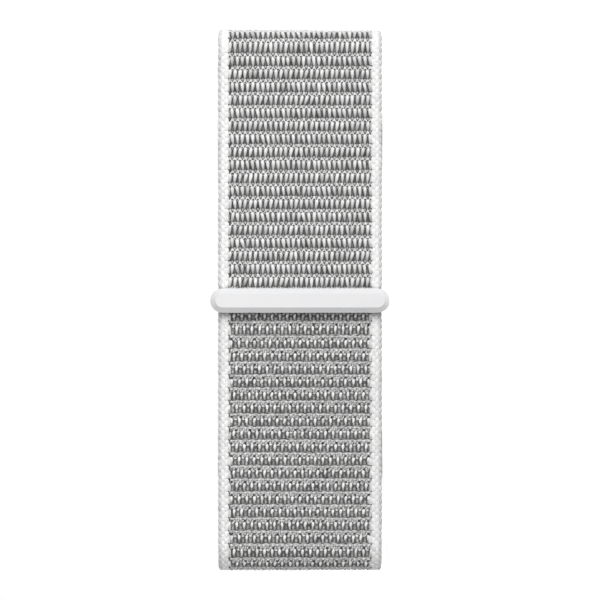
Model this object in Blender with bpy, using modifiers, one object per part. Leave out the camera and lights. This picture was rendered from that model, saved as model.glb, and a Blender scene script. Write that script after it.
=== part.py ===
"""Woven nylon loop strap for a wristwatch, closed, lying on its side edge.

The front stretch runs along X and faces -Y, the wrist goes through along Z.
The short strap is on +X and the long strap with its folded tail is on -X.
All sizes are in metres.
"""
import math

import bmesh
import bpy
from mathutils import Matrix, Vector

# Webbing
WEB_WIDTH = 0.0220
WEB_THICKNESS = 0.0017
SELVEDGE_ROUND = 0.0004
WEB_GAP = 0.0003

# Closed loop
FRONT_LENGTH = 0.0724
LOOP_DEPTH = 0.0410
CORNER_RADIUS = 0.0042
CASE_INSET = 0.0172
SIDE_FRONT_HANDLE_SHARE = 0.58
SIDE_BACK_HANDLE_SHARE = 0.92

# Keeper ring
KEEPER_HEIGHT = 0.00325
BAR_DEPTH = 0.0021
BAR_LOWER_DEPTH = 0.0013
BAR_REAR_BEVEL = 0.0010
BAR_BEVEL = 0.0007
POST_THICKNESS = 0.00075
POST_CLEARANCE = 0.0002
POST_FLARE = 0.0002
ROD_RADIUS = 0.0008
ROD_SHOULDER = 0.00035

# Short strap at the keeper
SHORT_FACE_DEPTH = 0.0007
TONGUE_THICKNESS = 0.0006
TONGUE_LENGTH = 0.0012
TONGUE_CLEARANCE = 0.00005
STRAP_STANDOFF = 0.00012

# Long strap and tail
FOLD_CLEARANCE = 0.0001
FOLD_GAP = 0.00025
TAIL_FACE_DEPTH = 0.0009
TAIL_RISE_LENGTH = 0.0040
TAIL_HINGE_OFFSET = 0.0009
TAIL_SIDE_LENGTH = 0.0180
RUN_SETTLE_LENGTH = 0.0120
TAB_LENGTH = 0.0048
TAB_THICKNESS = 0.0010
TAB_CORNER = 0.0032
HOOK_LENGTH = 0.0250
HOOK_WIDTH = 0.0180
HOOK_THICKNESS = 0.00045
HOOK_BED = 0.00005
SPLIT_GAP = 0.0003

# Lugs
LUG_HALF_THICKNESS = 0.00195
LUG_MOUTH_REACH = 0.0010
LUG_SHELL_REACH = 0.0011
LUG_NECK_START = 0.00235
LUG_NECK_END = 0.00285
LUG_NECK_HALF = 0.00095
LUG_TONGUE_HALF = 0.00135
LUG_TONGUE_REACH = 0.0056
LUG_NOSE_RADIUS = 0.0009
LUG_HEEL_RADIUS = 0.0003
LUG_CHANNEL_HALF = 0.0015
LUG_SIDE_CLEARANCE = 0.00015
LUG_END_BEVEL = 0.00025

# Lug pins and strap eyes
PIN_RADIUS = 0.0005
PIN_FIT = 0.00003
PIN_INSET = 0.0001
EYE_CLEARANCE = 0.0001
EYE_WALL = 0.0007

# Catches
CATCH_WIDTH = 0.0036
CATCH_LENGTH = 0.0013
CATCH_TRAVEL = 0.0005
CATCH_CLEARANCE = 0.00006
FLANGE_MARGIN = 0.00026
FLANGE_THICKNESS = 0.00045
LIP_THICKNESS = 0.0004
POCKET_WALL = 0.0006
CATCH_BEVEL = 0.00018
SPRING_RADIUS = 0.00055
SPRING_WIRE = 0.00016
SPRING_SEAT_GAP = 0.00003
SPRING_CURLS = 2.5

# Friction pads
PAD_WIDTH = 0.0030
PAD_LENGTH = 0.0014
PAD_DEPTH = 0.0005
PAD_PROUD = 0.00012
PAD_CLEARANCE = 0.00005
PAD_INSET = 0.0018
PAD_BEVEL = 0.0001

# Shared by all cutters
OVERRUN = 0.0010

# Counts
CORNER_STEPS = 9
FOLD_STEPS = 14
SIDE_STEPS = 18
RISE_STEPS = 6
ROUND_SIDES = 16
CURL_POINTS = 10

# Derived places
HALF_WEB = WEB_THICKNESS / 2
KEEPER_OVERHANG = POST_THICKNESS + POST_CLEARANCE
KEEPER_LENGTH = WEB_WIDTH + 2 * KEEPER_OVERHANG
LUG_LENGTH = KEEPER_LENGTH
LUG_CHEEK = KEEPER_OVERHANG - LUG_SIDE_CLEARANCE
MID_Z = KEEPER_LENGTH / 2
WEB_LOW = MID_Z - WEB_WIDTH / 2
WEB_HIGH = MID_Z + WEB_WIDTH / 2
FRONT_Y = -LOOP_DEPTH / 2
FOLD_RADIUS = ROD_RADIUS + FOLD_CLEARANCE + HALF_WEB
ROD_Y = FRONT_Y + BAR_DEPTH + FOLD_GAP + FOLD_RADIUS + HALF_WEB
TAIL_Y = FRONT_Y + TAIL_FACE_DEPTH + HALF_WEB
WEB_PITCH = WEB_THICKNESS + WEB_GAP
CORNER_X = FRONT_LENGTH / 2 - CORNER_RADIUS
CASE_GAP = FRONT_LENGTH - 2 * CASE_INSET
PIN_X = CASE_GAP / 2 + LUG_TONGUE_REACH
PIN_Y = LOOP_DEPTH / 2 - LUG_HALF_THICKNESS
EYE_INNER = PIN_RADIUS + EYE_CLEARANCE
EYE_OUTER = EYE_INNER + EYE_WALL


def clear_scene():
    for found in list(bpy.data.objects):
        bpy.data.objects.remove(found, do_unlink=True)
    for found in list(bpy.data.collections):
        bpy.data.collections.remove(found)


def new_collection(name):
    made = bpy.data.collections.new(name)
    bpy.context.scene.collection.children.link(made)
    return made


def new_material(name, colour, roughness, metallic=0.0):
    made = bpy.data.materials.new(name)
    made.use_nodes = True
    shader = made.node_tree.nodes["Principled BSDF"]
    shader.inputs["Base Color"].default_value = (*colour, 1.0)
    shader.inputs["Roughness"].default_value = roughness
    shader.inputs["Metallic"].default_value = metallic
    made.diffuse_color = (*colour, 1.0)
    return made


def arc(centre, radius, start, end, steps):
    """Points of an arc, angles in degrees from +X towards +Y."""
    points = []
    for i in range(steps + 1):
        angle = math.radians(start + (end - start) * i / steps)
        points.append((centre[0] + radius * math.cos(angle), centre[1] + radius * math.sin(angle)))
    return points


def bezier(first, first_handle, last_handle, last, steps):
    points = []
    for i in range(steps + 1):
        t = i / steps
        s = 1 - t
        shares = (s * s * s, 3 * s * s * t, 3 * s * t * t, t * t * t)
        corners = (first, first_handle, last_handle, last)
        points.append(tuple(sum(k * c[axis] for k, c in zip(shares, corners)) for axis in (0, 1)))
    return points


def rise(first, last, steps):
    """An S-shaped step between two parallel runs along X."""
    middle = (first[0] + last[0]) / 2
    return bezier(first, (middle, first[1]), (middle, last[1]), last, steps)


def chain(*stretches):
    """Joins stretches whose ends meet, without the doubled points."""
    points = []
    for stretch in stretches:
        for point in stretch:
            if not points or math.dist(points[-1], point) > WEB_THICKNESS / 100:
                points.append(point)
    return points


def lengths_along(points):
    total = [0.0]
    for a, b in zip(points, points[1:]):
        total.append(total[-1] + math.dist(a, b))
    return total


def cut_run(points, start, end):
    """The part of a run between two lengths along it."""
    along = lengths_along(points)
    kept = []
    for wanted in (start, end):
        for i, (a, b) in enumerate(zip(along, along[1:])):
            if wanted <= b or i == len(along) - 2:
                share = (wanted - a) / (b - a)
                p, q = points[i], points[i + 1]
                kept.append((p[0] + (q[0] - p[0]) * share, p[1] + (q[1] - p[1]) * share))
                break
    inner = [p for p, at in zip(points, along) if start < at < end]
    return chain([kept[0]], inner, [kept[1]])


def offset_run(points, distance):
    """A run moved sideways, to its left for a positive distance."""
    moved = []
    for i, point in enumerate(points):
        before = Vector(points[max(i - 1, 0)])
        after = Vector(points[min(i + 1, len(points) - 1)])
        here = Vector(point)
        into = (here - before).normalized() if i else (after - here).normalized()
        out = (after - here).normalized() if i < len(points) - 1 else into
        middle = (into + out).normalized()
        side = Vector((-middle.y, middle.x))
        moved.append(tuple(here + side * (distance / middle.dot(into))))
    return moved


def web_outline(run, half, start_cap=(), end_cap=()):
    """The edge of a web of even thickness round its middle run."""
    left = offset_run(run, half)
    right = offset_run(run, -half)
    return chain(left, end_cap, reversed(right), start_cap)


def outline_solid(name, points, low, high, collection):
    """A flat outline in X and Y, made solid from one height to the other."""
    curve = bpy.data.curves.new(name, "CURVE")
    curve.dimensions = "2D"
    curve.fill_mode = "BOTH"
    curve.extrude = (high - low) / 2
    spline = curve.splines.new("POLY")
    spline.points.add(len(points) - 1)
    for target, point in zip(spline.points, points):
        target.co = (point[0], point[1], 0.0, 1.0)
    spline.use_cyclic_u = True
    return curve_to_solid(name, curve, Matrix.Translation((0.0, 0.0, (high + low) / 2)), collection)


def curve_to_solid(name, curve, place, collection):
    holder = bpy.data.objects.new(name + "_curve", curve)
    bpy.context.scene.collection.objects.link(holder)
    graph = bpy.context.evaluated_depsgraph_get()
    mesh = bpy.data.meshes.new_from_object(holder.evaluated_get(graph))
    bpy.data.objects.remove(holder, do_unlink=True)
    bpy.data.curves.remove(curve)
    mesh.name = name
    mesh.transform(place)
    mesh.materials.clear()
    shape = bmesh.new()
    shape.from_mesh(mesh)
    bmesh.ops.remove_doubles(shape, verts=shape.verts, dist=WEB_THICKNESS / 10000)
    bmesh.ops.recalc_face_normals(shape, faces=shape.faces)
    shape.to_mesh(mesh)
    shape.free()
    made = bpy.data.objects.new(name, mesh)
    collection.objects.link(made)
    return made


def block(name, low, high, collection):
    """A box between two opposite corners."""
    shape = bmesh.new()
    bmesh.ops.create_cube(shape, size=1.0)
    size = Vector(high) - Vector(low)
    bmesh.ops.scale(shape, vec=size, verts=shape.verts)
    bmesh.ops.translate(shape, vec=(Vector(high) + Vector(low)) / 2, verts=shape.verts)
    mesh = bpy.data.meshes.new(name)
    shape.to_mesh(mesh)
    shape.free()
    made = bpy.data.objects.new(name, mesh)
    collection.objects.link(made)
    return made


def cylinder(name, x, y, radius, low, high, collection):
    """A round bar along Z, with a flat of its polygon on no axis."""
    shape = bmesh.new()
    turn = Matrix.Rotation(math.pi / ROUND_SIDES, 4, "Z")
    bmesh.ops.create_cone(shape, cap_ends=True, segments=ROUND_SIDES, radius1=radius,
                          radius2=radius, depth=high - low, matrix=turn)
    bmesh.ops.translate(shape, vec=(x, y, (low + high) / 2), verts=shape.verts)
    mesh = bpy.data.meshes.new(name)
    shape.to_mesh(mesh)
    shape.free()
    made = bpy.data.objects.new(name, mesh)
    collection.objects.link(made)
    return made


def combine(target, tool, operation):
    step = target.modifiers.new(operation.lower() + "_" + tool.name, "BOOLEAN")
    step.operation = operation
    step.solver = "EXACT"
    step.object = tool
    tool.hide_render = True
    tool.display_type = "WIRE"


def bevel(target, width, segments, angle=40.0):
    step = target.modifiers.new("edge_round", "BEVEL")
    step.width = width
    step.segments = segments
    step.limit_method = "ANGLE"
    step.angle_limit = math.radians(angle)
    step.use_clamp_overlap = True


def finish(target, material, pivot=None):
    """Gives a piece its material and smooth shading, and its origin on its joint axis."""
    target.data.materials.append(material)
    for face in target.data.polygons:
        face.use_smooth = True
    if pivot is not None:
        target.data.transform(Matrix.Translation(-Vector(pivot)))
        target.location = pivot


def side_run(start, side):
    """The run from a corner round the side of the loop to the lug pin."""
    end = (side * PIN_X, PIN_Y)
    back = SIDE_FRONT_HANDLE_SHARE * (end[1] - start[1])
    across = SIDE_BACK_HANDLE_SHARE * (start[0] - end[0])
    return bezier(start, (start[0], start[1] + back), (end[0] + across, end[1]), end, SIDE_STEPS)


def eye_cap(run):
    """The round end of a strap where it goes round its lug pin."""
    centre = run[-1]
    heading = math.degrees(math.atan2(run[-1][1] - run[-2][1], run[-1][0] - run[-2][0]))
    opening = 180.0 - math.degrees(math.asin(HALF_WEB / EYE_OUTER))
    return arc(centre, EYE_OUTER, heading + opening, heading - opening, FOLD_STEPS)


def eye_cutter(name, side, cutters):
    """The hole through a strap's round end, with room for its lug pin to turn."""
    return cylinder(name + "_eye_cutter", side * PIN_X, PIN_Y, EYE_INNER,
                    WEB_LOW - OVERRUN, WEB_HIGH + OVERRUN, cutters)


def strap_to_eye(run):
    """Stops a run short of its pin, where the round eye takes over."""
    reach = math.sqrt(EYE_OUTER ** 2 - HALF_WEB ** 2)
    total = lengths_along(run)[-1]
    return cut_run(run, 0.0, total - reach)


def short_run():
    start = (KEEPER_HEIGHT / 2 + STRAP_STANDOFF, FRONT_Y + SHORT_FACE_DEPTH + HALF_WEB)
    centre = (CORNER_X, FRONT_Y + SHORT_FACE_DEPTH + CORNER_RADIUS)
    corner = arc(centre, CORNER_RADIUS - HALF_WEB, -90.0, 0.0, CORNER_STEPS)
    return chain([start], corner, side_run(corner[-1], 1))


def long_corner(radius):
    centre = (-CORNER_X, FRONT_Y + TAIL_FACE_DEPTH + CORNER_RADIUS)
    return arc(centre, radius, -90.0, -180.0, CORNER_STEPS)


def main_run():
    """The long strap from the top of its fold down the skin side to its lug."""
    corner = long_corner(CORNER_RADIUS - HALF_WEB - WEB_PITCH)
    back = (0.0, ROD_Y + FOLD_RADIUS)
    settled = (-RUN_SETTLE_LENGTH, corner[0][1])
    return chain(rise(back, settled, RISE_STEPS), corner, side_run(corner[-1], -1))


def tail_run():
    """The tail from the front of the fold down over the main run."""
    corner = long_corner(CORNER_RADIUS - HALF_WEB)
    under = side_run(long_corner(CORNER_RADIUS - HALF_WEB - WEB_PITCH)[-1], -1)
    beside = cut_run(offset_run(under, WEB_PITCH), 0.0, TAIL_SIDE_LENGTH)
    front = (0.0, ROD_Y - FOLD_RADIUS)
    return chain(rise(front, (-TAIL_RISE_LENGTH, TAIL_Y), RISE_STEPS), corner, beside)


def hinge_length(run):
    """Length along the tail where it bends when it is peeled off."""
    wanted = -(KEEPER_HEIGHT / 2 + TAIL_HINGE_OFFSET)
    along = lengths_along(run)
    for i in range(len(run) - 1):
        if run[i + 1][0] <= wanted:
            share = (wanted - run[i][0]) / (run[i + 1][0] - run[i][0])
            return along[i] + share * (along[i + 1] - along[i])
    return along[-1]


def hinge_point():
    """The outer face of the web at the tail's bend, which is its hinge line."""
    run = tail_run()
    at = hinge_length(run)
    here, after = (Vector(p) for p in cut_run(run, at, at + HALF_WEB)[:2])
    heading = (after - here).normalized()
    outer = here + Vector((heading.y, -heading.x)) * -HALF_WEB
    return (outer.x, outer.y, MID_Z)


def build_short_strap(parts, cutters, fabric):
    run = short_run()
    body = strap_to_eye(run)
    low = body[0][1] - TONGUE_THICKNESS / 2
    high = body[0][1] + TONGUE_THICKNESS / 2
    shoulder = body[0][0]
    tip = shoulder - TONGUE_LENGTH
    tongue = [(shoulder, low), (tip, low), (tip, high), (shoulder, high)]
    outline = web_outline(body, HALF_WEB, tongue, eye_cap(run))
    strap = outline_solid("short_strap", outline, WEB_LOW, WEB_HIGH, parts)
    bevel(strap, SELVEDGE_ROUND, 2)
    combine(strap, eye_cutter("short", 1, cutters), "DIFFERENCE")
    finish(strap, fabric)


def build_long_strap(parts, cutters, fabric):
    tail = tail_run()
    front = cut_run(tail, 0.0, hinge_length(tail) - SPLIT_GAP / 2)
    fold = arc((0.0, ROD_Y), FOLD_RADIUS, -90.0, 90.0, FOLD_STEPS)
    run = chain(reversed(front), fold, main_run())
    body = strap_to_eye(run)
    outline = web_outline(body, HALF_WEB, (), eye_cap(run))
    strap = outline_solid("long_strap", outline, WEB_LOW, WEB_HIGH, parts)
    bevel(strap, SELVEDGE_ROUND, 2)
    combine(strap, eye_cutter("long", -1, cutters), "DIFFERENCE")
    finish(strap, fabric, (0.0, ROD_Y, MID_Z))


def build_tail(parts, cutters, fabric, welded, hooks):
    run = tail_run()
    total = lengths_along(run)[-1]
    start = hinge_length(run) + SPLIT_GAP / 2
    end = total - TAB_LENGTH
    pivot = hinge_point()

    body = web_outline(cut_run(run, start, end), HALF_WEB)
    tail = outline_solid("tail", body, WEB_LOW, WEB_HIGH, parts)
    bevel(tail, SELVEDGE_ROUND, 2)

    hook_start = end - HOOK_BED - HOOK_LENGTH
    hook_end = end - HOOK_BED - HOOK_THICKNESS
    inner = HOOK_THICKNESS / 2 - HALF_WEB
    patch_run = offset_run(cut_run(run, hook_start, hook_end), inner)
    patch_low = MID_Z - HOOK_WIDTH / 2
    patch_high = MID_Z + HOOK_WIDTH / 2
    patch_edge = web_outline(patch_run, HOOK_THICKNESS / 2)
    patch = outline_solid("hook_patch", patch_edge, patch_low, patch_high, parts)
    bed_run = offset_run(cut_run(run, hook_start - HOOK_BED, hook_end + HOOK_BED), -HALF_WEB)
    bed = outline_solid("hook_bed_cutter", web_outline(bed_run, HOOK_THICKNESS + HOOK_BED),
                        patch_low - HOOK_BED, patch_high + HOOK_BED, cutters)
    combine(tail, bed, "DIFFERENCE")

    tab_edge = web_outline(cut_run(run, end + SPLIT_GAP, total), TAB_THICKNESS / 2)
    tab = outline_solid("tail_tab", tab_edge, WEB_LOW, WEB_HIGH, parts)
    edge = max(p[1] for p in run)
    rounding = block("tab_corner_cutter",
                     (min(p[0] for p in run) - OVERRUN - WEB_THICKNESS, edge - 2 * TAB_LENGTH, WEB_LOW),
                     (-CORNER_X, edge, WEB_HIGH), cutters)
    bevel_along_x(rounding, TAB_CORNER)
    combine(tab, rounding, "INTERSECT")

    finish(tail, fabric, pivot)
    finish(patch, hooks, pivot)
    finish(tab, welded, pivot)


def bevel_along_x(target, width):
    """Rounds the two far edges of a block that run along X."""
    shape = bmesh.new()
    shape.from_mesh(target.data)
    far = max(v.co.y for v in shape.verts)
    edges = [e for e in shape.edges
             if all(v.co.y == far for v in e.verts) and e.verts[0].co.z == e.verts[1].co.z]
    bmesh.ops.bevel(shape, geom=edges, offset=width, segments=CORNER_STEPS, profile=0.5, affect="EDGES")
    shape.to_mesh(target.data)
    shape.free()


def stadium_prism(name, front, back, collection):
    """The keeper's outline as seen from the front, round at both ends."""
    radius = KEEPER_HEIGHT / 2
    low = arc((0.0, radius), radius, -180.0, 0.0, FOLD_STEPS)
    high = arc((0.0, KEEPER_LENGTH - radius), radius, 0.0, 180.0, FOLD_STEPS)
    outline = chain(low, high)
    made = outline_solid(name, outline, 0.0, back - front, collection)
    turn = Matrix.Rotation(math.radians(90.0), 4, "X")
    made.data.transform(Matrix.Translation((0.0, back, 0.0)) @ turn)
    return made


def build_keeper(parts, cutters, coated):
    half = KEEPER_HEIGHT / 2
    depth = ROD_Y - FRONT_Y + ROD_RADIUS + ROD_SHOULDER
    ring = stadium_prism("keeper_ring", FRONT_Y, FRONT_Y + depth + OVERRUN, parts)
    shape = bmesh.new()
    shape.from_mesh(ring.data)
    front_edges = [e for e in shape.edges
                   if all(abs(v.co.y - FRONT_Y) < WEB_THICKNESS / 1000 for v in e.verts)
                   and len(e.link_faces) == 2
                   and abs(e.link_faces[0].normal.dot(e.link_faces[1].normal)) < 0.5]
    bmesh.ops.bevel(shape, geom=front_edges, offset=BAR_BEVEL, segments=1, profile=0.5, affect="EDGES")
    shape.to_mesh(ring.data)
    shape.free()

    shoulder = ROD_RADIUS + ROD_SHOULDER
    bulge = arc((0.0, ROD_Y), shoulder, -10.0, 190.0, FOLD_STEPS + 1)
    waist = FRONT_Y + BAR_DEPTH
    wide = half + POST_FLARE
    profile = chain([(-wide, FRONT_Y - OVERRUN), (wide, FRONT_Y - OVERRUN), (wide, waist)], bulge,
                    [(-wide, waist)])
    link = outline_solid("keeper_side_cutter", profile, -OVERRUN, KEEPER_LENGTH + OVERRUN, cutters)
    combine(ring, link, "INTERSECT")

    low_back = FRONT_Y + BAR_LOWER_DEPTH
    rear = FRONT_Y + depth + 2 * OVERRUN
    window = [(-half - OVERRUN, low_back), (-half, low_back), (-half + BAR_REAR_BEVEL, waist),
              (half + OVERRUN, waist), (half + OVERRUN, rear), (-half - OVERRUN, rear)]
    opening = outline_solid("keeper_window_cutter", window,
                            POST_THICKNESS, KEEPER_LENGTH - POST_THICKNESS, cutters)
    combine(ring, opening, "DIFFERENCE")

    rod = cylinder("keeper_rod_tool", 0.0, ROD_Y, ROD_RADIUS, POST_THICKNESS / 2,
                   KEEPER_LENGTH - POST_THICKNESS / 2, cutters)
    combine(ring, rod, "UNION")

    shoulder_x = half + STRAP_STANDOFF
    middle = FRONT_Y + SHORT_FACE_DEPTH + HALF_WEB
    reach = TONGUE_THICKNESS / 2 + TONGUE_CLEARANCE
    slot = block("keeper_slot_cutter",
                 (shoulder_x - TONGUE_LENGTH - TONGUE_CLEARANCE, middle - reach, WEB_LOW - TONGUE_CLEARANCE),
                 (half + OVERRUN, middle + reach, WEB_HIGH + TONGUE_CLEARANCE), cutters)
    combine(ring, slot, "DIFFERENCE")
    finish(ring, coated)


def lug_place(side, reach, rise_out):
    """A place on a lug: reach towards the watch case, rise away from the skin."""
    return (side * (PIN_X - reach), PIN_Y + rise_out)


def lug_outline(side):
    mouth = [(-LUG_MOUTH_REACH, LUG_HALF_THICKNESS)]
    shoulder = rise((LUG_SHELL_REACH, LUG_HALF_THICKNESS), (LUG_NECK_START, LUG_NECK_HALF), RISE_STEPS)
    neck = [(LUG_NECK_END, LUG_NECK_HALF)]
    heel_centre = (LUG_NECK_END + LUG_HEEL_RADIUS, LUG_TONGUE_HALF - LUG_HEEL_RADIUS)
    heel = arc(heel_centre, LUG_HEEL_RADIUS, 180.0, 90.0, CORNER_STEPS // 3)
    nose_u = LUG_TONGUE_REACH - LUG_NOSE_RADIUS
    nose_v = LUG_TONGUE_HALF - LUG_NOSE_RADIUS
    nose = arc((nose_u, nose_v), LUG_NOSE_RADIUS, 90.0, 0.0, CORNER_STEPS // 2)
    half = chain(mouth, shoulder, neck, heel, nose)
    points = half + [(u, -v) for u, v in reversed(half)]
    return [lug_place(side, u, v) for u, v in points]


def lug_block(name, side, u_range, v_range, z_range, collection):
    a = lug_place(side, u_range[0], v_range[0])
    b = lug_place(side, u_range[1], v_range[1])
    low = (min(a[0], b[0]), min(a[1], b[1]), z_range[0])
    high = (max(a[0], b[0]), max(a[1], b[1]), z_range[1])
    return block(name, low, high, collection)


def tongue_middle():
    return (LUG_NECK_END + LUG_TONGUE_REACH) / 2


def build_lug(name, side, parts, cutters, steel):
    body = outline_solid(name + "_lug", lug_outline(side), 0.0, LUG_LENGTH, parts)
    bevel(body, LUG_END_BEVEL, 2, 60.0)

    cavity = [(-LUG_MOUTH_REACH - OVERRUN, -LUG_CHANNEL_HALF)]
    cavity += arc((0.0, 0.0), LUG_CHANNEL_HALF, -90.0, 90.0, FOLD_STEPS)
    cavity += [(-LUG_MOUTH_REACH - OVERRUN, LUG_CHANNEL_HALF)]
    channel = outline_solid(name + "_channel_cutter", [lug_place(side, u, v) for u, v in cavity],
                            LUG_CHEEK, LUG_LENGTH - LUG_CHEEK, cutters)
    combine(body, channel, "DIFFERENCE")
    bore = cylinder(name + "_bore_cutter", side * PIN_X, PIN_Y, PIN_RADIUS + PIN_FIT, -OVERRUN,
                    LUG_LENGTH + OVERRUN, cutters)
    combine(body, bore, "DIFFERENCE")

    u = tongue_middle()
    mouth = lug_block(name + "_mouth_cutter", side,
                      (u - CATCH_LENGTH / 2 - CATCH_CLEARANCE, u + CATCH_LENGTH / 2 + CATCH_CLEARANCE),
                      (-LUG_TONGUE_HALF - OVERRUN, LUG_TONGUE_HALF - POCKET_WALL),
                      (MID_Z - CATCH_WIDTH / 2 - CATCH_CLEARANCE, MID_Z + CATCH_WIDTH / 2 + CATCH_CLEARANCE),
                      cutters)
    combine(body, mouth, "DIFFERENCE")
    wide = CATCH_WIDTH / 2 + FLANGE_MARGIN + CATCH_CLEARANCE
    long = CATCH_LENGTH / 2 + FLANGE_MARGIN + CATCH_CLEARANCE
    pocket = lug_block(name + "_pocket_cutter", side, (u - long, u + long),
                       (-LUG_TONGUE_HALF + LIP_THICKNESS, LUG_TONGUE_HALF - POCKET_WALL),
                       (MID_Z - wide, MID_Z + wide), cutters)
    combine(body, pocket, "DIFFERENCE")
    for end, middle in pad_middles().items():
        recess = lug_block(name + "_recess_" + end + "_cutter", side,
                           (u - PAD_LENGTH / 2 - PAD_CLEARANCE, u + PAD_LENGTH / 2 + PAD_CLEARANCE),
                           (-LUG_TONGUE_HALF - OVERRUN, -LUG_TONGUE_HALF + PAD_DEPTH),
                           (middle - PAD_WIDTH / 2 - PAD_CLEARANCE, middle + PAD_WIDTH / 2 + PAD_CLEARANCE),
                           cutters)
        combine(body, recess, "DIFFERENCE")
    finish(body, steel, (side * PIN_X, PIN_Y, MID_Z))


def build_pin(name, side, parts, steel):
    pin = cylinder(name + "_lug_pin", side * PIN_X, PIN_Y, PIN_RADIUS,
                   PIN_INSET, LUG_LENGTH - PIN_INSET, parts)
    finish(pin, steel, (side * PIN_X, PIN_Y, MID_Z))


def build_catch(name, side, parts, cutters, steel, spring_steel):
    u = tongue_middle()
    lip = -LUG_TONGUE_HALF + LIP_THICKNESS
    flange_low = lip + CATCH_CLEARANCE
    flange_high = flange_low + FLANGE_THICKNESS
    head = lug_block(name + "_catch", side, (u - CATCH_LENGTH / 2, u + CATCH_LENGTH / 2),
                     (-LUG_TONGUE_HALF - CATCH_TRAVEL, flange_high - FLANGE_THICKNESS / 2),
                     (MID_Z - CATCH_WIDTH / 2, MID_Z + CATCH_WIDTH / 2), parts)
    round_front(head, CATCH_BEVEL)
    wide = CATCH_WIDTH / 2 + FLANGE_MARGIN
    long = CATCH_LENGTH / 2 + FLANGE_MARGIN
    flange = lug_block(name + "_flange_tool", side, (u - long, u + long), (flange_low, flange_high),
                       (MID_Z - wide, MID_Z + wide), cutters)
    combine(head, flange, "UNION")
    x, y = lug_place(side, u, flange_low)
    finish(head, steel, (x, y, MID_Z))

    seat = flange_high + SPRING_SEAT_GAP + SPRING_WIRE / 2
    floor = LUG_TONGUE_HALF - POCKET_WALL - SPRING_SEAT_GAP - SPRING_WIRE / 2
    build_spring(name, lug_place(side, u, seat), lug_place(side, u, floor), parts, spring_steel)


def round_front(target, width):
    """Rounds the edges of the face that looks towards the skin."""
    shape = bmesh.new()
    shape.from_mesh(target.data)
    near = min(v.co.y for v in shape.verts)
    edges = [e for e in shape.edges if all(v.co.y == near for v in e.verts)]
    bmesh.ops.bevel(shape, geom=edges, offset=width, segments=2, profile=0.5, affect="EDGES")
    shape.to_mesh(target.data)
    shape.free()


def build_spring(name, seat, floor, parts, spring_steel):
    """An open coil between the catch and the floor of its pocket."""
    curve = bpy.data.curves.new(name + "_spring", "CURVE")
    curve.dimensions = "3D"
    curve.bevel_depth = SPRING_WIRE / 2
    curve.bevel_resolution = 1
    curve.use_fill_caps = True
    count = int(SPRING_CURLS * CURL_POINTS)
    spline = curve.splines.new("POLY")
    spline.points.add(count)
    radius = SPRING_RADIUS - SPRING_WIRE / 2
    least = None
    places = []
    for i, point in enumerate(spline.points):
        angle = 2 * math.pi * i / CURL_POINTS
        height = seat[1] + (floor[1] - seat[1]) * i / count
        place = (seat[0] + radius * math.cos(angle), height, MID_Z + radius * math.sin(angle))
        point.co = (*place, 1.0)
        if len(places) >= CURL_POINTS // 2 + 1:
            near = min(math.dist(place, p) for p in places[:-(CURL_POINTS // 2)])
            least = near if least is None else min(least, near)
        places.append(place)
    print(name, "spring's least gap to itself, mm:", round((least - SPRING_WIRE) * 1000, 3))
    spring = curve_to_solid(name + "_catch_spring", curve, Matrix.Identity(4), parts)
    finish(spring, spring_steel, (floor[0], floor[1], MID_Z))


def pad_middles():
    inset = PAD_INSET + PAD_WIDTH / 2
    return {"low": inset, "high": LUG_LENGTH - inset}


def build_pads(name, side, parts, rubber):
    u = tongue_middle()
    for end, middle in pad_middles().items():
        pad = lug_block(name + "_pad_" + end, side, (u - PAD_LENGTH / 2, u + PAD_LENGTH / 2),
                        (-LUG_TONGUE_HALF - PAD_PROUD, -LUG_TONGUE_HALF + PAD_DEPTH - PAD_CLEARANCE),
                        (middle - PAD_WIDTH / 2, middle + PAD_WIDTH / 2), parts)
        round_front(pad, PAD_BEVEL)
        finish(pad, rubber, (side * PIN_X, PIN_Y, MID_Z))


def main():
    clear_scene()
    parts = new_collection("nylon_watch_strap")
    cutters = new_collection("cutters")
    fabric = new_material("woven_nylon", (0.42, 0.42, 0.43), 0.85)
    welded = new_material("welded_nylon", (0.62, 0.62, 0.62), 0.6)
    hooks = new_material("nylon_hooks", (0.55, 0.55, 0.56), 0.7)
    coated = new_material("white_keeper", (0.80, 0.80, 0.81), 0.4)
    steel = new_material("lug_steel", (0.62, 0.62, 0.63), 0.3, 1.0)
    spring_steel = new_material("spring_steel", (0.45, 0.45, 0.47), 0.35, 1.0)
    rubber = new_material("pad_rubber", (0.70, 0.70, 0.70), 0.8)

    build_short_strap(parts, cutters, fabric)
    build_long_strap(parts, cutters, fabric)
    build_tail(parts, cutters, fabric, welded, hooks)
    build_keeper(parts, cutters, coated)
    for name, side in (("short", 1), ("long", -1)):
        build_lug(name, side, parts, cutters, steel)
        build_pin(name, side, parts, steel)
        build_catch(name, side, parts, cutters, steel, spring_steel)
        build_pads(name, side, parts, rubber)
    print("tail hinge, m:", [round(v, 6) for v in hinge_point()])
    print("keeper rod, m:", [0.0, round(ROD_Y, 6), round(MID_Z, 6)])
    print("lug pins, m:", [round(PIN_X, 6), round(PIN_Y, 6), round(MID_Z, 6)])


main()
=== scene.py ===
# %% [markdown]
# # A woven nylon loop strap
#
# The strap is a closed loop of double-woven nylon. It lies on its side edge, with the keeper bar
# and the folded tail facing the camera. Its metal lugs, the keeper ring and the small parts inside
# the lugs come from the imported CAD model. Everything that is woven is made here, yarn by yarn,
# and rides on the same bodies as the solids that it stands for.

import math

import bmesh
import bpy
import numpy as np
from mathutils import Matrix, Vector


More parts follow.
